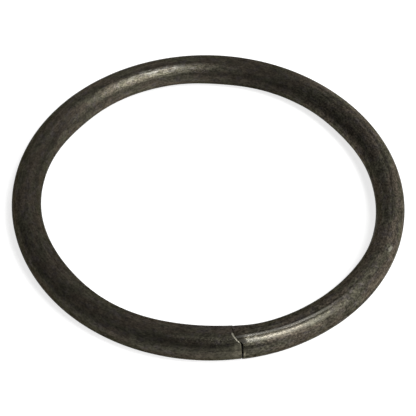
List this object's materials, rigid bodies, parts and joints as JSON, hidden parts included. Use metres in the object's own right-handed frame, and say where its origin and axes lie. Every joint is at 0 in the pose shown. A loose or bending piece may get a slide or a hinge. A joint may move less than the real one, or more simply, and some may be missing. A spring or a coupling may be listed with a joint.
{
  "type": "retaining ring",
  "caption": "Retaining ring of dark round spring wire, split where its cropped ends almost meet, for a round-bottomed groove in a shaft.",
  "frame": {"origin": "centre of the ring, at half the height of its wire", "axes": "+Z along the ring's axis, up as it lies flat; the split faces -Y, with the nipped end on its -X side and the end with the lip on its +X side"},
  "size_m": [0.0634, 0.0635, 0.0048],
  "materials": {
    "spring_wire": "oil-tempered spring steel with a dark, mottled oxide skin"
  },
  "bodies": {
    "root": {"retaining_ring": "spring_wire"}
  },
  "joints": []
}
